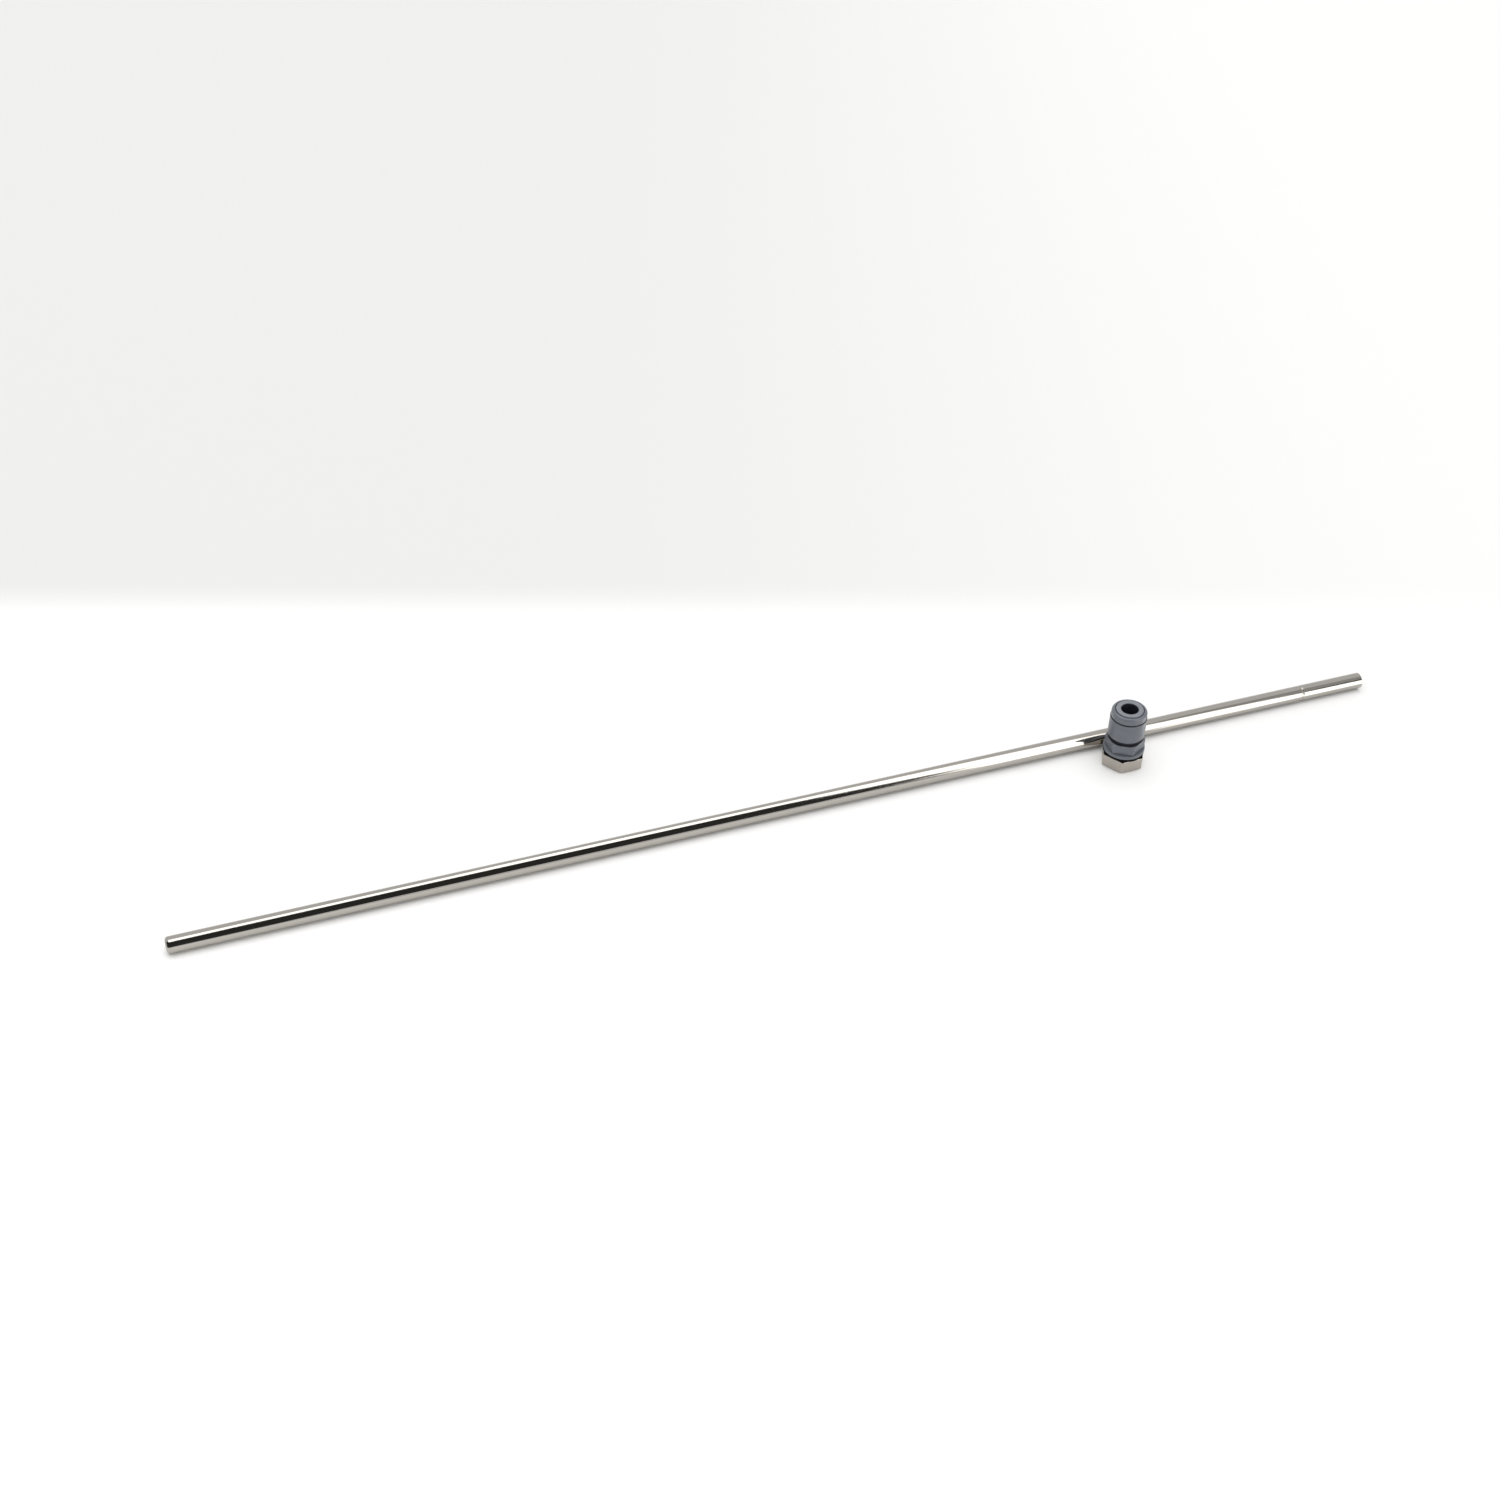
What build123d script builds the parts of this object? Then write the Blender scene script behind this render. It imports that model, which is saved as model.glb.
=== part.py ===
"""Thermowell and push-fit bulkhead fitting, in millimetres.

A long steel thermowell tube, closed at one end, lies along X. A plastic push-fit
bulkhead fitting for the same tube stands upright beside it, on the flat face of its
lock nut. The origin is the bottom centre of the pair, X runs along the tube towards
its open end, and Z is up.
"""

import os
from math import cos, pi, radians, sin, sqrt, tan

from build123d import *

# Thermowell: drawn stainless tube with a welded tip.
probe_length = 600.0
tube_od = 8.0
tube_wall = 0.5
tube_edge_break = 0.15
plug_thickness = 2.0
plug_dome = 0.4
plug_corner = 1.2
groove_from_end = 34.4
groove_width = 1.2
groove_depth = 0.25

# Where the fitting stands, and how it is turned about its own axis.
fitting_from_end = 141.85
lie_gap = 0.85
nut_corner_angle = 242.0
hex_flat_angle = 239.0

# Gaps between pieces.
bore_clearance = 0.15
thread_clearance = 0.08
slide_clearance = 0.2
cone_clearance = 0.3
seat_gap = 0.05
pocket_clearance = 0.05

# Lock nut and sealing washer.
nut_af = 19.0
nut_height = 6.8
nut_bevel = 30.0
seal_thickness = 1.4
seal_inset = 0.1

# Fitting body, from the threaded shank up.
shank_d = 13.157
shank_inset = 0.4
shank_chamfer = 0.5
flange_d = 20.1
flange_thickness = 1.7
flange_chamfer = 0.3
hex_af = 17.0
hex_height = 5.4
neck_height = 2.1
neck_depth = 1.5
barrel_height = 10.5
barrel_wall = 1.6
barrel_chamfer = 0.35

# O-rings, the spacer between them and the washer that keeps them in.
ring_section = 2.0
ring_squeeze = 0.2
spacer_height = 1.6
backing_height = 1.0

# Collet and its gripping teeth.
collet_travel = 1.5
collet_floor_gap = 0.3
mouth_clearance = 0.25
mouth_height = 3.0
mouth_chamfer = 0.35
leg_clearance = 0.5
leg_wall = 1.1
foot_overhang = 0.9
foot_height = 1.3
foot_cone_height = 1.6
collet_flange_overhang = 1.0
collet_flange_height = 1.4
collet_flange_round = 0.35
collet_stand = 0.5
slot_count = 8
slot_width = 0.8
slot_share = 0.75
tooth_thickness = 0.3
tooth_width = 1.6
tooth_slope = 22.0
tooth_cover = 0.4

# Retaining cap that is pressed into the barrel.
cap_wall = 0.5
cap_ring_gap = 0.5
cap_head_height = 3.5
cap_inset = 0.3
cap_round = 1.3
cap_round_share = 0.9
seam_height = 0.4
seam_depth = 0.3

# Radii that follow.
tube_r = tube_od / 2
tube_bore_r = tube_r - tube_wall
shank_r = shank_d / 2
flange_r = flange_d / 2
bore_r = tube_r + bore_clearance
ring_inner_r = tube_r - ring_squeeze
ring_outer_r = ring_inner_r + ring_section
pocket_r = ring_outer_r + pocket_clearance
mouth_r = tube_r + mouth_clearance
leg_inner_r = tube_r + leg_clearance
leg_outer_r = leg_inner_r + leg_wall
foot_r = leg_outer_r + foot_overhang
collet_flange_r = leg_outer_r + collet_flange_overhang
cap_bore_r = leg_outer_r + slide_clearance
cap_cone_r = foot_r + cone_clearance
spigot_r = cap_cone_r + cap_wall
barrel_r = spigot_r + barrel_wall
neck_r = barrel_r - neck_depth
cap_r = barrel_r - cap_inset
cap_recess_r = collet_flange_r + cap_ring_gap
nut_corner_r = nut_af / 2 / cos(pi / 6)
hex_corner_r = hex_af / 2 / cos(pi / 6)

# Heights that follow, from the floor up.
z_seal = nut_height + seat_gap
z_flange = z_seal + seal_thickness + seat_gap
z_hex = z_flange + flange_thickness
z_neck = z_hex + hex_height
z_barrel = z_neck + neck_height
z_seam = z_barrel + barrel_height
z_cap = z_seam + seam_height
z_cap_top = z_cap + cap_head_height
z_collet_top = z_cap_top + collet_stand
z_collet_seat = z_collet_top - collet_flange_height
z_pocket = z_neck - ring_section - spacer_height / 2
z_spacer = z_pocket + ring_section
z_upper_ring = z_spacer + spacer_height
z_backing = z_upper_ring + ring_section
z_spigot = z_backing + backing_height
z_foot = z_spigot + collet_floor_gap
z_foot_cone = z_foot + foot_height
z_leg = z_foot_cone + foot_cone_height
z_mouth = z_collet_top - mouth_height

# Places along the tube.
x_tip = -probe_length / 2
x_open = probe_length / 2
x_tube = x_tip + plug_thickness
x_groove = x_open - groove_from_end
x_fitting = x_open - fitting_from_end


def tube_half_width(z_low, z_high):
    """Widest half-breadth of the lying tube between two heights above the floor."""
    nearest = min(max(tube_r, z_low), z_high)
    return sqrt(max(tube_r**2 - (nearest - tube_r) ** 2, 0.0))


def hexagon_reach(corner_r, corner_angle):
    """How far a hexagon's corners reach along Y, to either side."""
    return max(corner_r * sin(radians(corner_angle + 60 * k)) for k in range(6))


# The fitting stands just clear of the tube, at whichever level comes nearest. Its body
# turns, so the spanner hexagon counts as round, while the nut below it stays as it stands.
nut_reach = hexagon_reach(nut_corner_r, nut_corner_angle)
hex_reach = hexagon_reach(hex_corner_r, hex_flat_angle + 30)
levels = [
    (nut_reach, 0.0, nut_height),
    (flange_r - seal_inset, z_seal, z_flange),
    (flange_r, z_flange, z_hex),
    (hex_corner_r, z_hex, z_neck),
    (barrel_r, z_barrel, z_cap_top),
]
near_levels = [level for level in levels if level[1] < tube_od]
standoff = lie_gap + max(r + tube_half_width(low, high) for r, low, high in near_levels)
front_reach = max(nut_reach, flange_r, hex_reach, barrel_r)
y_fitting = (front_reach - standoff - tube_r) / 2
y_tube = y_fitting + standoff


def turned(outline):
    """A solid turned about Z from its (radius, height) outline."""
    return revolve(make_face(Plane.XZ * Polyline(*outline, close=True)), Axis.Z)


def rod_x(radius, x_start, x_end):
    """A round bar along X between two places."""
    bar = Cylinder(radius, x_end - x_start, align=(Align.CENTER, Align.CENTER, Align.MIN))
    return Pos(x_start, 0, 0) * Rot(0, 90, 0) * bar


def ring(inner_r, outer_r, z_low, z_high):
    """A plain washer about Z."""
    return turned([(inner_r, z_low), (outer_r, z_low), (outer_r, z_high), (inner_r, z_high)])


def hexagon(across_flats, corner_angle, z_low, z_high, bevel_low, bevel_high):
    """A hexagonal prism about Z, its corners turned back at the ends that are bevelled."""
    corner_r = across_flats / 2 / cos(pi / 6)
    drop = (corner_r - across_flats / 2) * tan(radians(nut_bevel))
    profile = RegularPolygon(corner_r, 6, rotation=corner_angle)
    prism = Pos(0, 0, z_low) * extrude(profile, z_high - z_low)
    foot = across_flats / 2 if bevel_low else corner_r
    head = across_flats / 2 if bevel_high else corner_r
    envelope = turned(
        [
            (0, z_low),
            (foot, z_low),
            (corner_r, z_low + drop),
            (corner_r, z_high - drop),
            (head, z_high),
            (0, z_high),
        ]
    )
    return prism & envelope


def thermowell_tube():
    """The drawn tube: open at +X, butted on the tip plug at -X, with one rolled groove."""
    tube = rod_x(tube_r, x_tube, x_open)
    tube = chamfer(tube.edges().sort_by(Axis.X)[-1], tube_edge_break)
    groove_start = x_groove - groove_width / 2
    groove = rod_x(tube_od, groove_start, groove_start + groove_width)
    groove -= rod_x(tube_r - groove_depth, groove_start, groove_start + groove_width)
    return tube - groove - rod_x(tube_bore_r, x_tube, x_open)


def tip_plug():
    """The disc welded into the tube's end: flat inside, a shallow dome outside."""
    dome_r = (tube_r**2 + plug_dome**2) / (2 * plug_dome)
    half_way = dome_r - sqrt(dome_r**2 - (tube_r / 2) ** 2)
    dome = ThreePointArc((0, 0), (half_way, tube_r / 2), (plug_dome, tube_r))
    sides = Polyline((plug_dome, tube_r), (plug_thickness, tube_r), (plug_thickness, 0), (0, 0))
    outline = make_face(dome + sides)
    rim = outline.vertices().sort_by_distance((plug_dome, tube_r))[0]
    outline = fillet(rim, min(plug_corner, plug_thickness - plug_dome))
    return Pos(x_tip, 0, 0) * revolve(outline, Axis.X)


def lock_nut():
    """The steel nut that the fitting stands on, bevelled at its foot only."""
    blank = hexagon(nut_af, nut_corner_angle, 0, nut_height, True, False)
    return blank - ring(0, shank_r + thread_clearance, 0, nut_height)


def seal_washer():
    """The rubber washer between the nut and the flange."""
    return ring(shank_r + thread_clearance, flange_r - seal_inset, z_seal, z_seal + seal_thickness)


def fitting_body():
    """The moulded body: threaded shank, flange, spanner hexagon, neck and barrel."""
    outside = turned(
        [
            (0, shank_inset),
            (shank_r - shank_chamfer, shank_inset),
            (shank_r, shank_inset + shank_chamfer),
            (shank_r, z_flange),
            (flange_r, z_flange),
            (flange_r, z_hex - flange_chamfer),
            (flange_r - flange_chamfer, z_hex),
            (neck_r, z_hex),
            (neck_r, z_barrel),
            (barrel_r - barrel_chamfer, z_barrel),
            (barrel_r, z_barrel + barrel_chamfer),
            (barrel_r, z_seam - barrel_chamfer),
            (barrel_r - barrel_chamfer, z_seam),
            (0, z_seam),
        ]
    )
    spanner = hexagon(hex_af, hex_flat_angle + 30, z_hex, z_neck, False, True)
    inside = turned(
        [
            (0, 0),
            (bore_r, 0),
            (bore_r, z_pocket),
            (pocket_r, z_pocket),
            (pocket_r, z_backing),
            (spigot_r, z_backing),
            (spigot_r, z_seam),
            (0, z_seam),
        ]
    )
    return outside + spanner - inside


def o_ring(z_low):
    """One O-ring, lying on the height given."""
    section = ring_section / 2
    return Pos(0, 0, z_low + section) * Torus(ring_inner_r + section, section)


def retaining_cap():
    """The cap: a spigot that fills the barrel, and a rounded head with the collet's seat."""
    cone_foot = z_foot_cone + collet_travel
    cap = turned(
        [
            (cap_cone_r, z_spigot),
            (spigot_r, z_spigot),
            (spigot_r, z_seam),
            (cap_r - seam_depth, z_seam),
            (cap_r - seam_depth, z_cap),
            (cap_r, z_cap),
            (cap_r, z_cap_top),
            (cap_recess_r, z_cap_top),
            (cap_recess_r, z_collet_seat - seat_gap),
            (cap_bore_r, z_collet_seat - seat_gap),
            (cap_bore_r, cone_foot + foot_cone_height),
            (cap_cone_r, cone_foot),
        ]
    )
    rim = cap.edges().filter_by(GeomType.CIRCLE).group_by(Axis.Z)[-1].sort_by(SortBy.RADIUS)[-1]
    return fillet(rim, min(cap_round, (cap_r - cap_recess_r) * cap_round_share))


def tooth(index):
    """One steel tooth, set in a leg and sloping down and inwards to its edge."""
    tip_r = tube_r - groove_depth
    root_r = foot_r - tooth_cover
    slope = tan(radians(tooth_slope))
    rise = (root_r - tip_r) * slope
    z_tip = z_foot + foot_height / 2 - rise / 2
    outline = [
        (tip_r, z_tip),
        (root_r, z_tip + rise),
        (root_r, z_tip + rise + tooth_thickness),
        (tip_r + tooth_thickness, z_tip + tooth_thickness * (1 + slope)),
    ]
    blade = extrude(make_face(Plane.XZ * Polyline(*outline, close=True)), tooth_width / 2, both=True)
    return Rot(0, 0, 360 / slot_count * index) * blade


def collet(teeth):
    """The sliding collet: a flanged mouth on sprung legs with thickened feet."""
    body = turned(
        [
            (leg_inner_r, z_foot),
            (foot_r, z_foot),
            (foot_r, z_foot_cone),
            (leg_outer_r, z_leg),
            (leg_outer_r, z_collet_seat),
            (collet_flange_r, z_collet_seat),
            (collet_flange_r, z_collet_top - collet_flange_round),
            (collet_flange_r - collet_flange_round, z_collet_top),
            (mouth_r + mouth_chamfer, z_collet_top),
            (mouth_r, z_collet_top - mouth_chamfer),
            (mouth_r, z_mouth),
            (leg_inner_r, z_mouth),
        ]
    )
    slot_height = (z_mouth - z_foot) * slot_share
    slot = Box(
        collet_flange_r,
        slot_width,
        slot_height,
        align=(Align.MIN, Align.CENTER, Align.MIN),
    )
    for index in range(slot_count):
        body -= Pos(0, 0, z_foot) * Rot(0, 0, 360 / slot_count * (index + 0.5)) * slot
    for blade in teeth:
        body -= blade
    return body


def at_tube(shape):
    """Moves a piece from its own axis to where the tube lies."""
    return Pos(0, y_tube, tube_r) * shape


def at_fitting(shape, turn=0.0):
    """Moves a piece from its own axis to where the fitting stands, turned about it."""
    return Pos(x_fitting, y_fitting, 0) * Rot(0, 0, turn) * shape


teeth = [tooth(index) for index in range(slot_count)]
parts = {
    "thermowell_tube": at_tube(thermowell_tube()),
    "tip_plug": at_tube(tip_plug()),
    "lock_nut": at_fitting(lock_nut()),
    "seal_washer": at_fitting(seal_washer()),
    "fitting_body": at_fitting(fitting_body()),
    "o_ring_lower": at_fitting(o_ring(z_pocket)),
    "o_ring_spacer": at_fitting(ring(bore_r, ring_outer_r, z_spacer, z_upper_ring)),
    "o_ring_upper": at_fitting(o_ring(z_upper_ring)),
    "backing_washer": at_fitting(ring(bore_r, spigot_r, z_backing, z_spigot)),
    "retaining_cap": at_fitting(retaining_cap()),
    "collet": at_fitting(collet(teeth), hex_flat_angle),
}
for number, blade in enumerate(teeth, start=1):
    parts[f"collet_tooth_{number}"] = at_fitting(blade, hex_flat_angle)

os.makedirs("parts", exist_ok=True)
for name, shape in parts.items():
    export_step(shape, f"parts/{name}.step")
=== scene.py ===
"""The looks of a thermowell tube and of the push-fit bulkhead fitting that stands beside it.

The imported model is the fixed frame, in metres. New pieces are shaped in millimetres about
their own axis, and then set down where the frame says their node lies.
"""

from math import atan2, cos, hypot, pi, radians, sin, sqrt, tan

import bmesh
import bpy
from mathutils import Matrix, Vector


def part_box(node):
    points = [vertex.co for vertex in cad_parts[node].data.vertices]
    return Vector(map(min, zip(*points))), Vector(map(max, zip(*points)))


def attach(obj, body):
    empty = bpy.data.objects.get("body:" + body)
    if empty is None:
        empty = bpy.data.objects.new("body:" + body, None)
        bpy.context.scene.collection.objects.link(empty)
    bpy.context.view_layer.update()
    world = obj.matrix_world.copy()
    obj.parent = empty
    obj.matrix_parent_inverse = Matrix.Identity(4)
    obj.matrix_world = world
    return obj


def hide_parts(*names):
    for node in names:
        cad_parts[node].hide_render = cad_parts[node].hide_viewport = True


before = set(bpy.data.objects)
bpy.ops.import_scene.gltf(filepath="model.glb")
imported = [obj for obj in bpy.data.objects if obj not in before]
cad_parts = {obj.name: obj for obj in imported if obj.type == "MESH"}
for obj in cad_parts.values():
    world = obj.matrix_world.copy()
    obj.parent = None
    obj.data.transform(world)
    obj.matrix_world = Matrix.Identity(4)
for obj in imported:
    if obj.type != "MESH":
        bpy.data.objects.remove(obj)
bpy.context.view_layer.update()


# ---------------------------------------------------------------------------------------
# Camera. It stands in front of the tube's closed half, at standing height over a table,
# and looks down along the tube towards its open end.
# ---------------------------------------------------------------------------------------
camera_place = (-0.2377, -0.6167, 0.6024)
camera_tilt = 49.82
camera_turn = -18.34

camera_lens = bpy.data.cameras.new("camera")
camera_lens.sensor_width = 36.0
camera_lens.lens = 45.2
camera = bpy.data.objects.new("camera", camera_lens)
camera.location = camera_place
camera.rotation_euler = (radians(camera_tilt), 0, radians(camera_turn))
bpy.context.scene.collection.objects.link(camera)
bpy.context.scene.camera = camera
bpy.context.scene.view_settings.view_transform = "Standard"


# ---------------------------------------------------------------------------------------
# Table. A wide sheet of matt white paper that the tube lies on and the fitting stands on.
# It is painted whitest near by on the left, as a pool of light, and it is greyer where it
# runs away behind them.
# ---------------------------------------------------------------------------------------
def linear(colour):
    """The linear RGBA of an sRGB hex colour."""
    channels = [int(colour[k : k + 2], 16) / 255 for k in (1, 3, 5)]
    return [*[c / 12.92 if c < 0.04045 else ((c + 0.055) / 1.055) ** 2.4 for c in channels], 1]


def add_node(tree, kind, inputs=None, **settings):
    """Adds a node with its settings, and sets or links each of its inputs."""
    node = tree.nodes.new(kind)
    for name, value in settings.items():
        setattr(node, name, value)
    for socket, value in (inputs or {}).items():
        if isinstance(value, bpy.types.NodeSocket):
            tree.links.new(value, node.inputs[socket])
        else:
            node.inputs[socket].default_value = value
    return node


def new_finish(name, **inputs):
    """A material with one surface shader, and the shader and tree to build on."""
    material = bpy.data.materials.new(name)
    material.use_nodes = True
    shader = material.node_tree.nodes["Principled BSDF"]
    for socket, value in inputs.items():
        shader.inputs[socket.replace("_", " ")].default_value = value
    return material, shader, material.node_tree


paper_reach = 8.0
paper_fade_start = 0.80
paper_fade_end = 0.86
far_left = -0.2
far_right = 0.5
near_left = -0.3
near_right = 0.3

# Uncoated white paper: fully matt, with no shine and only slow changes of tone. Its whiter
# near left is painted light.
matt_paper, paper_shader, tree = new_finish("matt_white_paper", Roughness=0.9)
place = add_node(tree, "ShaderNodeTexCoord").outputs["Object"]
heading = Vector((sin(radians(-camera_turn)), cos(radians(camera_turn)), 0))
away = add_node(tree, "ShaderNodeVectorMath", {0: place, 1: heading}, operation="DOT_PRODUCT")
foot = Vector((camera_place[0], camera_place[1], 0)).dot(heading)
fade = add_node(
    tree,
    "ShaderNodeMapRange",
    {
        "Value": away.outputs["Value"],
        "From Min": foot + paper_fade_start,
        "From Max": foot + paper_fade_end,
    },
    interpolation_type="SMOOTHSTEP",
)
sideways = Vector((heading.y, -heading.x, 0))
across = add_node(tree, "ShaderNodeVectorMath", {0: place, 1: sideways}, operation="DOT_PRODUCT")
far_blend = add_node(
    tree,
    "ShaderNodeMapRange",
    {"Value": across.outputs["Value"], "From Min": far_left, "From Max": far_right},
    interpolation_type="SMOOTHSTEP",
)
far_tone = add_node(
    tree,
    "ShaderNodeMix",
    {"Factor": far_blend.outputs["Result"], 6: linear("#DEDEDD"), 7: linear("#EDEDED")},
    data_type="RGBA",
)
# Painted light: near by, the paper is whiter on the left, as a pool of light.
near_blend = add_node(
    tree,
    "ShaderNodeMapRange",
    {"Value": across.outputs["Value"], "From Min": near_left, "From Max": near_right},
)
near_light_tone = add_node(
    tree,
    "ShaderNodeMix",
    {"Factor": near_blend.outputs["Result"], 6: linear("#FFFFFF"), 7: linear("#F2F2F2")},
    data_type="RGBA",
)
paper_tone = add_node(
    tree,
    "ShaderNodeMix",
    {"Factor": fade.outputs["Result"], 6: near_light_tone.outputs[2], 7: far_tone.outputs[2]},
    data_type="RGBA",
)
tree.links.new(paper_tone.outputs[2], paper_shader.inputs["Base Color"])

paper = bpy.data.objects.new("paper", bpy.data.meshes.new("paper"))
bm = bmesh.new()
bmesh.ops.create_grid(bm, x_segments=1, y_segments=1, size=paper_reach)
bm.to_mesh(paper.data)
bm.free()
paper.data.materials.append(matt_paper)
bpy.context.scene.collection.objects.link(paper)


# ---------------------------------------------------------------------------------------
# Studio. Even daylight and one soft lamp overhead, and plain cards that only shine in
# the polished steel: white strips overhead, a white screen at the open end, dark in front.
# ---------------------------------------------------------------------------------------
daylight = bpy.data.worlds.new("daylight")
daylight.use_nodes = True
daylight.node_tree.nodes["Background"].inputs["Color"].default_value = linear("#FCFCFA")
daylight.node_tree.nodes["Background"].inputs["Strength"].default_value = 0.82
bpy.context.scene.world = daylight

lamp = bpy.data.lights.new("soft_lamp", "SUN")
lamp.energy = 1.15
lamp.angle = radians(60)
soft_lamp = bpy.data.objects.new("soft_lamp", lamp)
soft_lamp.rotation_euler = Vector((0.08, 0.05, 1)).to_track_quat("Z", "Y").to_euler()
soft_lamp.visible_glossy = False
bpy.context.scene.collection.objects.link(soft_lamp)


def add_card(name, level, corners):
    """A flat card of one even brightness, which only shows in shiny surfaces."""
    bm = bmesh.new()
    bm.faces.new([bm.verts.new(corner) for corner in corners])
    card = bpy.data.objects.new(name, bpy.data.meshes.new(name))
    bm.to_mesh(card.data)
    bm.free()
    tone = bpy.data.materials.new(name)
    tone.use_nodes = True
    output = tone.node_tree.nodes["Material Output"]
    glow = add_node(tone.node_tree, "ShaderNodeEmission", {"Color": (level, level, level, 1)})
    tone.node_tree.links.new(glow.outputs["Emission"], output.inputs["Surface"])
    card.data.materials.append(tone)
    card.visible_camera = False
    card.visible_diffuse = False
    card.visible_shadow = False
    card.visible_transmission = False
    bpy.context.scene.collection.objects.link(card)


white, pale, middle, dark = 3.0, 0.85, 0.5, 0.04
card_gap = 0.005
table_gap = 0.0005
strip_z, roof_z = 1.2, 2.4
front_y, back_y, side_x = -2.0, 2.0, 4.0
screen_x, screen_z = 0.84, 1.25
low_wall_x, low_wall_z = -0.1, 0.62
low_step_x, low_step_z = -0.3, 0.3
roof_join_x, roof_join_y = 1.1, 0.1

strip = [(-0.46, 0.30), (-0.42, -0.34), (-0.30, -0.12), (-0.12, 0.03), (0.30, 0.03)]
strip += [(0.50, 0.60), (0.27, 0.86), (0.02, 0.94), (-0.12, 0.70)]
add_card("overhead_strip", white, [(x, y, strip_z) for x, y in strip])
arm = [(0.30, 0.03), (0.41, -0.44), (0.56, -0.84), (0.93, -1.95), (1.75, -1.95)]
arm += [(1.33, -1.43), (0.965, -0.72), (0.80, -0.49), (0.65, 0.28), (0.50, 0.60)]
add_card("overhead_arm", white, [(x, y, strip_z) for x, y in arm])
screen = [(screen_x, 0), (side_x, 0), (side_x, screen_z), (screen_x, screen_z)]
add_card("front_screen", white, [(x, front_y + 2 * card_gap, z) for x, z in screen])
table_light = [(0.185, -0.006), (0.9, -0.006), (1.2, -1.9), (0.75, -1.9), (0.30, -0.10)]
add_card("bright_table", white, [(x, y, table_gap) for x, y in table_light])
low_wall = [(-side_x, 0), (screen_x, 0), (screen_x, low_wall_z), (low_wall_x, low_wall_z)]
low_wall += [(low_step_x, low_step_z), (-side_x, low_step_z)]
add_card("low_front_wall", pale, [(x, front_y + card_gap, z) for x, z in low_wall])
wall = [(-side_x, 0), (side_x, 0), (side_x, roof_z), (-side_x, roof_z)]
add_card("dark_front_wall", dark, [(x, front_y, z) for x, z in wall])
add_card("back_wall", pale, [(x, back_y, z) for x, z in wall])
dark_roof = [(-side_x, front_y), (roof_join_x, front_y)]
dark_roof += [(roof_join_x, roof_join_y), (-side_x, roof_join_y)]
add_card("dark_front_roof", dark, [(x, y, roof_z) for x, y in dark_roof])
grey_roof = [(roof_join_x, front_y), (side_x, front_y)]
grey_roof += [(side_x, roof_join_y), (roof_join_x, roof_join_y)]
add_card("grey_end_roof", middle, [(x, y, roof_z) for x, y in grey_roof])
back_roof = [(-side_x, roof_join_y), (side_x, roof_join_y), (side_x, back_y), (-side_x, back_y)]
add_card("back_roof", pale, [(x, y, roof_z) for x, y in back_roof])


# ---------------------------------------------------------------------------------------
# Thermowell tube. Drawn and polished stainless steel tube, 8 mm across, with a thin ring
# rolled in near the open end, where a push-fit collet's teeth take hold.
# ---------------------------------------------------------------------------------------
def turn_outline(outline, steps, closed=True):
    """Turns an outline of (radius, height, rounding) corners about Z."""
    bm = bmesh.new()
    corners = [bm.verts.new((radius, 0, height)) for radius, height, _ in outline]
    following = corners[1:] + corners[:1] if closed else corners[1:]
    for corner, after in zip(corners, following):
        bm.edges.new((corner, after))
    for size in sorted({rounding for _, _, rounding in outline if rounding}):
        rounded = [v for v, (_, _, rounding) in zip(corners, outline) if rounding == size]
        bmesh.ops.bevel(
            bm,
            geom=rounded,
            offset=size,
            offset_type="OFFSET",
            segments=4,
            profile=0.5,
            affect="VERTICES",
            material=-1,
        )
    bmesh.ops.spin(
        bm,
        geom=bm.verts[:] + bm.edges[:],
        cent=(0, 0, 0),
        axis=(0, 0, 1),
        angle=2 * pi,
        steps=steps,
        use_merge=True,
    )
    bmesh.ops.remove_doubles(bm, verts=bm.verts[:], dist=1e-4)
    bmesh.ops.recalc_face_normals(bm, faces=bm.faces[:])
    return bm


def add_piece(name, bm, place, finish, sharp_angle=35.0):
    """Sets a mesh made in millimetres down at its place in metres, with its finish."""
    bmesh.ops.transform(bm, matrix=place @ Matrix.Scale(0.001, 4), verts=bm.verts[:])
    mesh = bpy.data.meshes.new(name)
    bm.to_mesh(mesh)
    bm.free()
    mesh.materials.append(finish)
    mesh.shade_smooth()
    mesh.set_sharp_from_angle(angle=radians(sharp_angle))
    piece = bpy.data.objects.new(name, mesh)
    bpy.context.scene.collection.objects.link(piece)
    even = piece.modifiers.new("even_faces", "WEIGHTED_NORMAL")
    even.keep_sharp = True
    return piece


def per_metre(size):
    """The scale of a pattern whose features have a size in millimetres."""
    return 1000 / size


draw_line = 0.667
draw_line_stretch = 50
draw_line_depth = 0.02

# Drawn 304 stainless, buffed along its length: a near-mirror with faint long draw lines,
# which are wider here than real ones, so that they show.
polished_stainless, shader, tree = new_finish("polished_stainless_steel", Metallic=1.0)
place = add_node(tree, "ShaderNodeTexCoord").outputs["Object"]
draw_lines = add_node(
    tree,
    "ShaderNodeMapping",
    {"Vector": place, "Scale": (1 / draw_line_stretch, 1, 1)},
)
line_noise = add_node(
    tree,
    "ShaderNodeTexNoise",
    {
        "Vector": draw_lines.outputs["Vector"],
        "Scale": per_metre(draw_line),
        "Detail": 4.0,
        "Roughness": 0.6,
    },
)
steel_tone = add_node(
    tree,
    "ShaderNodeMix",
    {"Factor": line_noise.outputs["Fac"], 6: linear("#ABA7A1"), 7: linear("#B4B0AA")},
    data_type="RGBA",
)
tree.links.new(steel_tone.outputs[2], shader.inputs["Base Color"])
buffing = add_node(
    tree,
    "ShaderNodeMapRange",
    {
        "Value": line_noise.outputs["Fac"],
        "From Min": 0.3,
        "From Max": 0.7,
        "To Min": 0.05,
        "To Max": 0.11,
    },
)
tree.links.new(buffing.outputs["Result"], shader.inputs["Roughness"])
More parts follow.
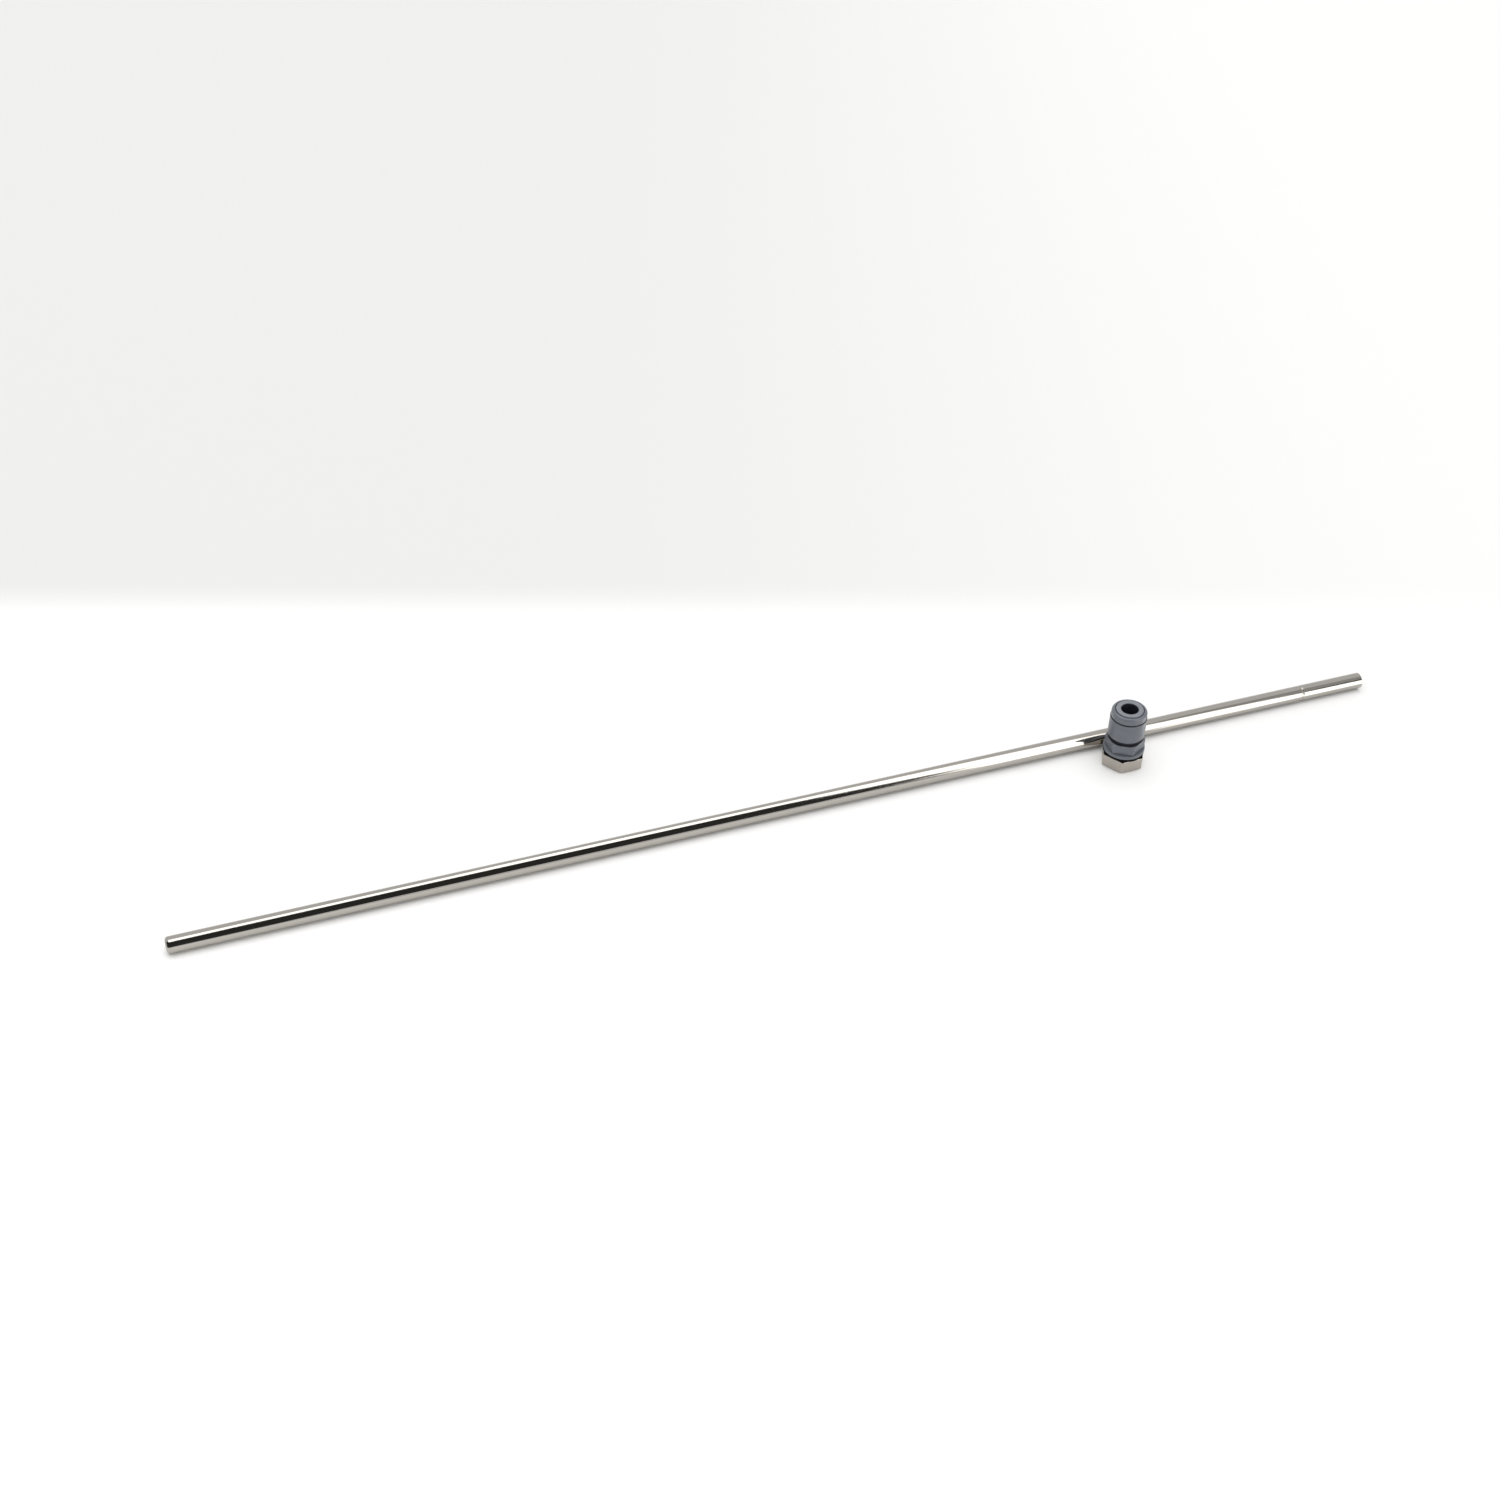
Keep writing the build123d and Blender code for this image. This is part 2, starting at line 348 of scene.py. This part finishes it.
line_bump = add_node(
    tree,
    "ShaderNodeBump",
    {
        "Height": line_noise.outputs["Fac"],
        "Strength": 0.1,
        "Distance": draw_line_depth / 1000,
    },
)
tree.links.new(line_bump.outputs["Normal"], shader.inputs["Normal"])

tube_low, tube_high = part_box("thermowell_tube")
tube_length = (tube_high.x - tube_low.x) * 1000
tube_r = (tube_high.z - tube_low.z) / 2 * 1000
tube_wall = 0.5
tube_edge = 0.15
groove_from_end = 34.4
groove_width = 1.2
groove_depth = 0.25
groove_lip = 0.08
groove_bed = 0.15
bore_r = tube_r - tube_wall
groove_at = tube_length - groove_from_end

tube_place = Matrix.Translation((tube_low.x, (tube_low.y + tube_high.y) / 2, tube_r / 1000))
tube_place = tube_place @ Matrix.Rotation(radians(90), 4, "Y")
bm = turn_outline(
    [
        (bore_r, 0, 0),
        (tube_r, 0, 0),
        (tube_r, groove_at - groove_width / 2, groove_lip),
        (tube_r - groove_depth, groove_at - groove_width / 4, groove_bed),
        (tube_r - groove_depth, groove_at + groove_width / 4, groove_bed),
        (tube_r, groove_at + groove_width / 2, groove_lip),
        (tube_r, tube_length, tube_edge),
        (bore_r, tube_length, tube_edge / 2),
    ],
    steps=128,
)
tube = add_piece("polished_tube", bm, tube_place, polished_stainless)
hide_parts("thermowell_tube")
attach(tube, "thermowell")


# ---------------------------------------------------------------------------------------
# Tip plug. A small stainless disc welded into the tube's closed end, ground flush with it
# and polished together with it, so that no seam shows round its softly rounded rim.
# ---------------------------------------------------------------------------------------
plug_low, plug_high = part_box("tip_plug")
plug_thickness = (plug_high.x - plug_low.x) * 1000
plug_dome = 0.4
plug_corner = 1.2
dome_rings = 6
dome_r = (tube_r**2 + plug_dome**2) / (2 * plug_dome)

dome_radii = [tube_r * k / dome_rings for k in range(dome_rings)]
dome_radii = [r for r in dome_radii if r < tube_r - plug_corner]
plug_outline = [(r, dome_r - sqrt(dome_r**2 - r**2), 0) for r in dome_radii]
plug_outline += [(tube_r, plug_dome, plug_corner)]
plug_outline += [(tube_r, plug_thickness, 0), (0, plug_thickness, 0)]
bm = turn_outline(plug_outline, steps=128, closed=False)
plug_place = Matrix.Translation((plug_low.x, (plug_low.y + plug_high.y) / 2, tube_r / 1000))
plug_place = plug_place @ Matrix.Rotation(radians(90), 4, "Y")
plug = add_piece("closed_tip", bm, plug_place, polished_stainless, sharp_angle=50.0)
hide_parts("tip_plug")
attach(plug, "thermowell")


# ---------------------------------------------------------------------------------------
# Lock nut. A thin hexagon nut parted off from stainless hexagon bar, 19 mm across flats,
# its corners turned back at the foot only, with a right-hand G 1/4 thread through it.
# ---------------------------------------------------------------------------------------
def draw_in_flats(bm, across_flats, low, high, bevel_low=False, bevel_high=False):
    """Draws each corner-radius ring in to the hexagon's flats, and along a bevel if asked."""
    corner_r = across_flats / 2 / cos(pi / 6)
    for v in bm.verts:
        radius = hypot(v.co.x, v.co.y)
        if abs(radius - corner_r) > 1e-3:
            continue
        off_corner = atan2(v.co.y, v.co.x) % (pi / 3)
        flat_r = across_flats / 2 / cos(off_corner - pi / 6)
        land_r = min(flat_r, corner_r * corner_land)
        v.co.x *= land_r / radius
        v.co.y *= land_r / radius
        drop = (land_r - across_flats / 2) * tan(radians(bevel_angle))
        if bevel_high and v.co.z > (low + high) / 2:
            v.co.z = high - drop
        if bevel_low and v.co.z < (low + high) / 2:
            v.co.z = low + drop


def add_thread(bm, root_r, crest_r, low, turns, phase):
    """Adds a closed right-hand thread ridge that starts at a height, run out at both ends."""
    steps = round(turns * thread_steps)
    inward = 1 if crest_r > root_r else -1
    sunk_r = root_r - inward * thread_sink
    profile = [
        (sunk_r, -thread_foot),
        (root_r, -thread_foot),
        (crest_r - inward * thread_round, -thread_crest),
        (crest_r, 0),
        (crest_r - inward * thread_round, thread_crest),
        (root_r, thread_foot),
        (sunk_r, thread_foot),
    ]
    ridge = bmesh.new()
    corners = [ridge.verts.new((radius, 0, low + height)) for radius, height in profile]
    section = ridge.faces.new(corners)
    bmesh.ops.spin(
        ridge,
        geom=[section, *section.edges, *section.verts],
        cent=(0, 0, 0),
        axis=(0, 0, 1),
        dvec=(0, 0, thread_pitch / thread_steps),
        angle=2 * pi * turns,
        steps=steps,
    )
    for number, v in enumerate(ridge.verts):
        step = number // len(profile)
        rise = max(min(step, steps - step, thread_run_out) / thread_run_out, thread_end_rise)
        radius = hypot(v.co.x, v.co.y)
        run_out = (sunk_r + (radius - sunk_r) * rise) / radius
        v.co.x *= run_out
        v.co.y *= run_out
    start = Matrix.Rotation(phase, 3, "Z")
    bmesh.ops.rotate(ridge, cent=(0, 0, 0), matrix=start, verts=ridge.verts[:])
    bmesh.ops.recalc_face_normals(ridge, faces=ridge.faces[:])
    carrier = bpy.data.meshes.new("thread")
    ridge.to_mesh(carrier)
    ridge.free()
    bm.from_mesh(carrier)
    bpy.data.meshes.remove(carrier)


bevel_angle = 30.0
corner_land = 0.985
thread_pitch = 1.337
thread_steps = 72
thread_foot = 0.52
thread_crest = 0.1
thread_round = 0.06
thread_sink = 0.05
thread_run_out = 12
thread_end_rise = 0.02
facing_ring = 0.349
facing_gloss = 0.1
bar_grain = 0.4545
tool_mark_depth = 0.02

# Turned stainless: a soft satin sheen and fine grain on the drawn flats, and brighter,
# smoother end faces with faint rings from the facing tool, where the seal is mirrored. The
# rings and grain are coarser than real ones, so that they show.
satin_steel, shader, tree = new_finish("satin_machined_steel", Metallic=1.0)
nut_low, nut_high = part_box("lock_nut")
nut_middle = (nut_low + nut_high) / 2
place = add_node(tree, "ShaderNodeTexCoord").outputs["Object"]
centred = add_node(
    tree,
    "ShaderNodeMapping",
    {"Vector": place, "Location": (-nut_middle.x, -nut_middle.y, 0)},
)
wave_length = 2 * pi / 20
rings = add_node(
    tree,
    "ShaderNodeTexWave",
    {
        "Vector": centred.outputs["Vector"],
        "Scale": per_metre(facing_ring) * wave_length,
        "Distortion": 0.6,
        "Detail": 2.0,
    },
    wave_type="RINGS",
    rings_direction="Z",
)
grain = add_node(
    tree,
    "ShaderNodeTexNoise",
    {
        "Vector": centred.outputs["Vector"],
        "Scale": per_metre(bar_grain),
        "Detail": 5.0,
        "Roughness": 0.65,
    },
)
normal = add_node(tree, "ShaderNodeNewGeometry").outputs["Normal"]
facing = add_node(tree, "ShaderNodeSeparateXYZ", {"Vector": normal})
flat_side = add_node(tree, "ShaderNodeMath", {0: facing.outputs["Z"]}, operation="ABSOLUTE")
marks = add_node(
    tree,
    "ShaderNodeMix",
    {"Factor": flat_side.outputs["Value"], 2: grain.outputs["Fac"], 3: rings.outputs["Fac"]},
)
nut_tone = add_node(
    tree,
    "ShaderNodeMix",
    {"Factor": grain.outputs["Fac"], 6: linear("#A39C95"), 7: linear("#B7B2AB")},
    data_type="RGBA",
)
tree.links.new(nut_tone.outputs[2], shader.inputs["Base Color"])
bar_gloss = add_node(
    tree,
    "ShaderNodeMapRange",
    {
        "Value": grain.outputs["Fac"],
        "From Min": 0.3,
        "From Max": 0.7,
        "To Min": 0.26,
        "To Max": 0.4,
    },
)
nut_gloss = add_node(
    tree,
    "ShaderNodeMix",
    {"Factor": flat_side.outputs["Value"], 2: bar_gloss.outputs["Result"], 3: facing_gloss},
)
tree.links.new(nut_gloss.outputs[0], shader.inputs["Roughness"])
nut_bump = add_node(
    tree,
    "ShaderNodeBump",
    {"Height": marks.outputs[0], "Strength": 0.2, "Distance": tool_mark_depth / 1000},
)
tree.links.new(nut_bump.outputs["Normal"], shader.inputs["Normal"])

nut_height = (nut_high.z - nut_low.z) * 1000
nut_af = 19.0
nut_corner_angle = 242.0
nut_corner_r = nut_af / 2 / cos(pi / 6)
nut_lead_in = 0.4
nut_lead_round = 0.06
nut_edge = 0.08
nut_edge_r = nut_corner_r - nut_edge / cos(pi / 6)
shank_d = 13.157
shank_crest_r = shank_d / 2
shank_thread_low = 1.1
thread_clearance = 0.08
nut_thread_root = shank_crest_r + thread_clearance
nut_thread_crest = 5.8
nut_thread_low = shank_thread_low + thread_pitch / 2
nut_thread_turns = 3.2

fitting_place = Matrix.Translation((nut_middle.x, nut_middle.y, 0))
nut_turned = fitting_place @ Matrix.Rotation(radians(nut_corner_angle), 4, "Z")
bm = turn_outline(
    [
        (nut_thread_root, nut_lead_in, 0),
        (nut_thread_root + nut_lead_in, 0, nut_lead_round),
        (nut_af / 2, 0, 0),
        (nut_corner_r, nut_edge, 0),
        (nut_corner_r, nut_height - nut_edge, 0),
        (nut_edge_r, nut_height, 0),
        (nut_thread_root + nut_lead_in, nut_height, nut_lead_round),
        (nut_thread_root, nut_height - nut_lead_in, 0),
    ],
    steps=240,
)
draw_in_flats(bm, nut_af, 0, nut_height, bevel_low=True)
draw_in_flats(bm, nut_af - 2 * nut_edge, 0, nut_height)
add_thread(
    bm,
    nut_thread_root,
    nut_thread_crest,
    nut_thread_low,
    nut_thread_turns,
    phase=-radians(nut_corner_angle),
)
nut = add_piece("hexagon_nut", bm, nut_turned, satin_steel, sharp_angle=20.0)
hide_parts("lock_nut")
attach(nut, "nut")


# ---------------------------------------------------------------------------------------
# Sealing washer. Black EPDM rubber, moulded flat and squeezed a little between the nut
# and the flange, so that its rim is soft and slightly full.
# ---------------------------------------------------------------------------------------
rubber_bloom = 0.286
rubber_bloom_depth = 0.03

# Moulded EPDM, dry: a dull near-black with a fine bloom, which hardly catches the light.
rubber, shader, tree = new_finish(
    "black_epdm_rubber",
    Base_Color=linear("#050506"),
    Roughness=0.8,
    Specular_IOR_Level=0.1,
)
place = add_node(tree, "ShaderNodeTexCoord").outputs["Object"]
bloom = add_node(
    tree,
    "ShaderNodeTexNoise",
    {"Vector": place, "Scale": per_metre(rubber_bloom), "Detail": 3.0},
)
rubber_bump = add_node(
    tree,
    "ShaderNodeBump",
    {"Height": bloom.outputs["Fac"], "Strength": 0.25, "Distance": rubber_bloom_depth / 1000},
)
tree.links.new(rubber_bump.outputs["Normal"], shader.inputs["Normal"])

washer_low, washer_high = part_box("seal_washer")
washer_r = (washer_high.x - washer_low.x) / 2 * 1000
washer_bore_r = nut_thread_root
washer_round = 0.25
washer_bore_round = 0.15
bm = turn_outline(
    [
        (washer_bore_r, washer_low.z * 1000, washer_bore_round),
        (washer_r, washer_low.z * 1000, washer_round),
        (washer_r, washer_high.z * 1000, washer_round),
        (washer_bore_r, washer_high.z * 1000, washer_bore_round),
    ],
    steps=128,
)
washer = add_piece("rubber_washer", bm, fitting_place, rubber)
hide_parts("seal_washer")
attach(washer, "seal")


# ---------------------------------------------------------------------------------------
# Fitting body. Injection moulded in slate grey acetal: a threaded shank, a round flange,
# a 17 mm spanner hexagon, a narrow neck and the barrel that the cap is pressed into. Its
# creases are painted dark, as shade: at the hexagon's foot, round the neck and in the seam.
# ---------------------------------------------------------------------------------------
pigment_cloud = 3.85
spark_grain = 0.238
spark_depth = 0.03
# How dark the painted crease shade gets at its darkest.
crease_shade_cover = 0.85

# Acetal from a spark-eroded mould: an even, waxy half-matt grey, slightly clouded by its
# pigment, with painted shade darkening its creases.
grey_acetal, shader, tree = new_finish("slate_grey_acetal", IOR=1.48)
place = add_node(tree, "ShaderNodeTexCoord").outputs["Object"]
pigment = add_node(
    tree,
    "ShaderNodeTexNoise",
    {"Vector": place, "Scale": per_metre(pigment_cloud), "Detail": 3.0},
)
spark = add_node(
    tree,
    "ShaderNodeTexNoise",
    {"Vector": place, "Scale": per_metre(spark_grain), "Detail": 4.0, "Roughness": 0.6},
)
acetal_tone = add_node(
    tree,
    "ShaderNodeMix",
    {"Factor": pigment.outputs["Fac"], 6: linear("#5B5F67"), 7: linear("#6B6F77")},
    data_type="RGBA",
)
body_low, body_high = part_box("fitting_body")
cap_low, cap_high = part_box("retaining_cap")
washer_gap = 0.05
flange_thickness = 1.7
hex_height = 5.4
neck_height = 2.1
flange_z = washer_high.z * 1000 + washer_gap
hex_z = flange_z + flange_thickness
neck_z = hex_z + hex_height
barrel_z = neck_z + neck_height
seam_z = body_high.z * 1000

# Each crease is painted in shade from one height to another; the shade thins out over a spread.
shaded_creases = (
    (hex_z + 0.2, hex_z + 0.35, 0.15),
    (neck_z - 0.02, barrel_z + 0.05, 0.25),
    (seam_z, seam_z + 0.35, 0.3),
)
height = add_node(tree, "ShaderNodeSeparateXYZ", {"Vector": place}).outputs["Z"]
crease_shade = 0.0
for low, high, spread in shaded_creases:
    middle_z = (low + high) / 2000
    half = (high - low) / 2000
    offset = add_node(tree, "ShaderNodeMath", {0: height, 1: middle_z}, operation="SUBTRACT")
    distance = add_node(tree, "ShaderNodeMath", {0: offset.outputs["Value"]}, operation="ABSOLUTE")
    band = add_node(
        tree,
        "ShaderNodeMapRange",
        {
            "Value": distance.outputs["Value"],
            "From Min": half,
            "From Max": half + spread / 1000,
            "To Min": 1.0,
            "To Max": 0.0,
        },
        interpolation_type="SMOOTHSTEP",
    )
    joined = {0: crease_shade, 1: band.outputs["Result"]}
    crease_shade = add_node(tree, "ShaderNodeMath", joined, operation="MAXIMUM").outputs["Value"]
crease_shade_depth = add_node(tree, "ShaderNodeMath", {0: crease_shade, 1: crease_shade_cover}, operation="MULTIPLY")
# Painted shade: the grey is mixed towards near-black in the creases.
crease_shaded_tone = add_node(
    tree,
    "ShaderNodeMix",
    {
        "Factor": crease_shade_depth.outputs["Value"],
        6: acetal_tone.outputs[2],
        7: linear("#14161C"),
    },
    data_type="RGBA",
)
tree.links.new(crease_shaded_tone.outputs[2], shader.inputs["Base Color"])
acetal_gloss = add_node(
    tree,
    "ShaderNodeMapRange",
    {
        "Value": pigment.outputs["Fac"],
        "From Min": 0.3,
        "From Max": 0.7,
        "To Min": 0.32,
        "To Max": 0.44,
    },
)
tree.links.new(acetal_gloss.outputs["Result"], shader.inputs["Roughness"])
acetal_bump = add_node(
    tree,
    "ShaderNodeBump",
    {"Height": spark.outputs["Fac"], "Strength": 0.2, "Distance": spark_depth / 1000},
)
tree.links.new(acetal_bump.outputs["Normal"], shader.inputs["Normal"])

ring_low, ring_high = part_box("o_ring_lower")
backing_low, backing_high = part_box("backing_washer")
foot_z = body_low.z * 1000
flange_r = (body_high.x - body_low.x) / 2 * 1000
hex_af = 17.0
hex_flat_angle = 239.0
hex_corner_r = hex_af / 2 / cos(pi / 6)
hex_bevel = 0.5
cap_inset = 0.3
neck_depth = 1.5
thread_depth = 0.856
through_gap = 0.15
pocket_gap = 0.05
cap_r = (cap_high.x - cap_low.x) / 2 * 1000
barrel_r = cap_r + cap_inset
neck_r = barrel_r - neck_depth
shank_core_r = shank_crest_r - thread_depth
through_r = tube_r + through_gap
pocket_r = (ring_high.x - ring_low.x) / 2 * 1000 + pocket_gap
pocket_z = ring_low.z * 1000
backing_z = backing_low.z * 1000
spigot_r = (backing_high.x - backing_low.x) / 2 * 1000
shank_thread_turns = 4.8

hex_corner_angle = hex_flat_angle + 30
body_turned = fitting_place @ Matrix.Rotation(radians(hex_corner_angle), 4, "Z")
bm = turn_outline(
    [
        (through_r, foot_z, 0.15),
        (shank_core_r, foot_z, 0.25),
        (shank_core_r, flange_z, 0),
        (flange_r, flange_z, 0.15),
        (flange_r, hex_z, 0.3),
        (hex_corner_r, hex_z, 0),
        (hex_corner_r, neck_z - hex_bevel, 0),
        (hex_af / 2, neck_z, 0),
        (neck_r, neck_z, 0.1),
        (neck_r, barrel_z, 0.15),
        (barrel_r, barrel_z, 0.35),
        (barrel_r, seam_z, 0.3),
        (spigot_r, seam_z, 0.05),
        (spigot_r, backing_z, 0),
        (pocket_r, backing_z, 0.1),
        (pocket_r, pocket_z, 0.1),
        (through_r, pocket_z, 0.1),
    ],
    steps=240,
)
draw_in_flats(bm, hex_af, hex_z, neck_z, bevel_high=True)
add_thread(
    bm,
    shank_core_r,
    shank_crest_r,
    shank_thread_low,
    shank_thread_turns,
    phase=-radians(hex_corner_angle),
)
body = add_piece("moulded_body", bm, body_turned, grey_acetal)
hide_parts("fitting_body")
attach(body, "fitting")


# ---------------------------------------------------------------------------------------
# Retaining cap. The same acetal, pressed into the barrel with a narrow seam, a little
# slimmer than it, and turned over at the top into a soft round shoulder and a seat.
# ---------------------------------------------------------------------------------------
collet_low, collet_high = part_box("collet")
cap_top_z = cap_high.z * 1000
cap_foot_z = cap_low.z * 1000
collet_top_z = collet_high.z * 1000
collet_foot_z = collet_low.z * 1000
collet_r = (collet_high.x - collet_low.x) / 2 * 1000
collet_flange = 1.4
seat_gap = 0.05
seam_height = 0.4
seam_depth = 0.3
cap_round = 1.3
cap_ring_gap = 0.5
cap_bore_r = 5.8
cap_cone_r = 6.8
cap_cone_rise = 2.8
cap_cone_height = 1.6
seat_z = collet_top_z - collet_flange
cap_recess_r = collet_r + cap_ring_gap
cap_cone_z = collet_foot_z + cap_cone_rise

bm = turn_outline(
    [
        (cap_cone_r, cap_foot_z, 0),
        (spigot_r, cap_foot_z, 0.05),
        (spigot_r, seam_z, 0),
        (cap_r - seam_depth, seam_z, 0),
        (cap_r - seam_depth, seam_z + seam_height, 0.05),
        (cap_r, seam_z + seam_height, 0.12),
        (cap_r, cap_top_z, cap_round),
        (cap_recess_r, cap_top_z, 0.15),
        (cap_recess_r, seat_z - seat_gap, 0.1),
        (cap_bore_r, seat_z - seat_gap, 0.15),
        (cap_bore_r, cap_cone_z + cap_cone_height, 0),
        (cap_cone_r, cap_cone_z, 0),
    ],
    steps=240,
)
cap = add_piece("round_cap", bm, fitting_place, grey_acetal)
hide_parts("retaining_cap")
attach(cap, "fitting")


# ---------------------------------------------------------------------------------------
# Collet. Moulded in a paler grey acetal: a flanged mouth on eight sprung legs, parted by
# slots, with thick feet. It slides in the cap, and its flange lies in the cap's seat.
# ---------------------------------------------------------------------------------------
def cut_slots(bm, count, half_angle, top_z):
    """Opens evenly spaced slots, from the foot up to a height, in a turned sleeve."""
    for index in range(count):
        middle = 2 * pi * (index + 0.5) / count
        sides = (middle - half_angle, middle + half_angle)
        ends = [Vector((cos(side), sin(side))) for side in sides]
        gone = []
        for face in bm.faces:
            centre = face.calc_center_median()
            off_middle = (atan2(centre.y, centre.x) - middle + pi) % (2 * pi) - pi
            if centre.z < top_z - 1e-4 and abs(off_middle) < half_angle:
                gone.append(face)
        bmesh.ops.delete(bm, geom=gone, context="FACES")
        rim = [next(e for e in bm.edges if e.is_boundary)]
        loop = [rim[0].verts[0], rim[0].verts[1]]
        while loop[-1] is not loop[0]:
            step = next(e for e in loop[-1].link_edges if e.is_boundary and e is not rim[-1])
            rim.append(step)
            loop.append(step.other_vert(loop[-1]))
        loop.pop()
        bm.faces.new([v for v in loop if abs(v.co.z - top_z) < 1e-3])
        for end in ends:
            bm.faces.new([v for v in loop if abs(v.co.x * end.y - v.co.y * end.x) < 1e-3])
    bmesh.ops.recalc_face_normals(bm, faces=bm.faces[:])


speck_size = 1.11
bore_mottle_size = 1.43

# The collet's own acetal: a paler grey than the body, with a gloss that varies a little.
pale_acetal, shader, tree = new_finish("pale_grey_acetal", IOR=1.48)
place = add_node(tree, "ShaderNodeTexCoord").outputs["Object"]
collet_speck = add_node(
    tree,
    "ShaderNodeTexNoise",
    {"Vector": place, "Scale": per_metre(speck_size), "Detail": 4.0},
)
collet_tone = add_node(
    tree,
    "ShaderNodeMix",
    {"Factor": collet_speck.outputs["Fac"], 6: linear("#74787F"), 7: linear("#7F838A")},
    data_type="RGBA",
)
tree.links.new(collet_tone.outputs[2], shader.inputs["Base Color"])
collet_gloss = add_node(
    tree,
    "ShaderNodeMapRange",
    {
        "Value": collet_speck.outputs["Fac"],
        "From Min": 0.3,
        "From Max": 0.7,
        "To Min": 0.3,
        "To Max": 0.42,
    },
)
tree.links.new(collet_gloss.outputs["Result"], shader.inputs["Roughness"])

# Below the mouth the bore is painted almost black, as painted shade deep in the hole, with a
# faint shine.
shaded_bore_acetal, shader, tree = new_finish("painted_shade_bore_acetal", Roughness=0.35)
place = add_node(tree, "ShaderNodeTexCoord").outputs["Object"]
bore_mottle = add_node(
    tree,
    "ShaderNodeTexNoise",
    {"Vector": place, "Scale": per_metre(bore_mottle_size), "Detail": 3.0},
)
bore_shade_tone = add_node(
    tree,
    "ShaderNodeMix",
    {"Factor": bore_mottle.outputs["Fac"], 6: linear("#20232C"), 7: linear("#383C47")},
    data_type="RGBA",
)
tree.links.new(bore_shade_tone.outputs[2], shader.inputs["Base Color"])

leg_gap = 0.5
leg_wall = 1.1
mouth_gap = 0.25
mouth_depth = 3.0
foot_step = 0.9
foot_height = 1.3
foot_slope = 1.6
slot_count = 8
slot_share = 0.75
slot_half_angle = radians(4.5)
bore_shade_depth = 0.6
bore_shade_reach = 0.02
leg_inner_r = tube_r + leg_gap
leg_outer_r = leg_inner_r + leg_wall
mouth_r = tube_r + mouth_gap
mouth_z = collet_top_z - mouth_depth
foot_r = leg_outer_r + foot_step
foot_cone_low = collet_foot_z + foot_height
foot_cone_high = foot_cone_low + foot_slope
slot_top_z = collet_foot_z + (mouth_z - collet_foot_z) * slot_share

bm = turn_outline(
    [
        (leg_inner_r, collet_foot_z, 0.1),
        (foot_r, collet_foot_z, 0.2),
        (foot_r, foot_cone_low, 0.15),
        (leg_outer_r, foot_cone_high, 0.3),
        (leg_outer_r, slot_top_z, 0),
        (leg_outer_r, seat_z, 0.1),
        (collet_r, seat_z, 0.2),
        (collet_r, collet_top_z, 0.35),
        (mouth_r, collet_top_z, 0.4),
        (mouth_r, mouth_z, 0.1),
        (leg_inner_r, mouth_z, 0.05),
        (leg_inner_r, slot_top_z, 0),
    ],
    steps=240,
)
cut_slots(bm, slot_count, slot_half_angle, slot_top_z)
# The bore's faces below the mouth take the finish with painted shade.
bore_faces = []
for number, face in enumerate(bm.faces):
    centre = face.calc_center_median()
    in_bore = hypot(centre.x, centre.y) < leg_inner_r + bore_shade_reach
    if in_bore and centre.z < collet_top_z - bore_shade_depth:
        bore_faces.append(number)
collet_turned = fitting_place @ Matrix.Rotation(radians(hex_flat_angle), 4, "Z")
collet = add_piece("slotted_collet", bm, collet_turned, pale_acetal)
collet.data.materials.append(shaded_bore_acetal)
for number in bore_faces:
    collet.data.polygons[number].material_index = 1
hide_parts("collet")
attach(collet, "collet")


# ---------------------------------------------------------------------------------------
# Collet teeth. Eight small blades stamped from spring steel and moulded into the legs,
# each sloping down and inwards to the edge that bites into the tube.
# ---------------------------------------------------------------------------------------
stamp_mark = 0.333
tooth_count = 8

# Bright rolled stainless spring steel: a clean silver edge with fine stamping marks.
spring_steel, shader, tree = new_finish("bright_spring_steel", Metallic=1.0, Roughness=0.3)
place = add_node(tree, "ShaderNodeTexCoord").outputs["Object"]
stamp_marks = add_node(
    tree,
    "ShaderNodeTexNoise",
    {"Vector": place, "Scale": per_metre(stamp_mark), "Detail": 3.0},
)
tooth_tone = add_node(
    tree,
    "ShaderNodeMix",
    {"Factor": stamp_marks.outputs["Fac"], 6: linear("#8E8F92"), 7: linear("#A9AAAC")},
    data_type="RGBA",
)
tree.links.new(tooth_tone.outputs[2], shader.inputs["Base Color"])
for number in range(1, tooth_count + 1):
    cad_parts[f"collet_tooth_{number}"].material_slots[0].material = spring_steel


# ---------------------------------------------------------------------------------------
# O-rings. Two round-section rings of the softer, smoother EPDM used for water, greased, so
# that they shine a little more than the flat washer outside.
# ---------------------------------------------------------------------------------------
ring_grain_size = 0.385
ring_grain_depth = 0.02

# Greased EPDM: black, with a soft wet highlight round each ring.
ring_rubber, shader, tree = new_finish(
    "greased_epdm_rubber",
    Base_Color=linear("#0B0B0D"),
    Roughness=0.38,
)
place = add_node(tree, "ShaderNodeTexCoord").outputs["Object"]
ring_grain = add_node(
    tree,
    "ShaderNodeTexNoise",
    {"Vector": place, "Scale": per_metre(ring_grain_size), "Detail": 2.0},
)
ring_bump = add_node(
    tree,
    "ShaderNodeBump",
    {"Height": ring_grain.outputs["Fac"], "Strength": 0.1, "Distance": ring_grain_depth / 1000},
)
tree.links.new(ring_bump.outputs["Normal"], shader.inputs["Normal"])
for name in ("o_ring_lower", "o_ring_upper"):
    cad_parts[name].material_slots[0].material = ring_rubber


# ---------------------------------------------------------------------------------------
# O-ring spacer and backing washer. Plain moulded rings of the collet's paler acetal that
# part the two O-rings and hold them down in their pocket.
# ---------------------------------------------------------------------------------------
for name in ("o_ring_spacer", "backing_washer"):
    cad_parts[name].material_slots[0].material = pale_acetal
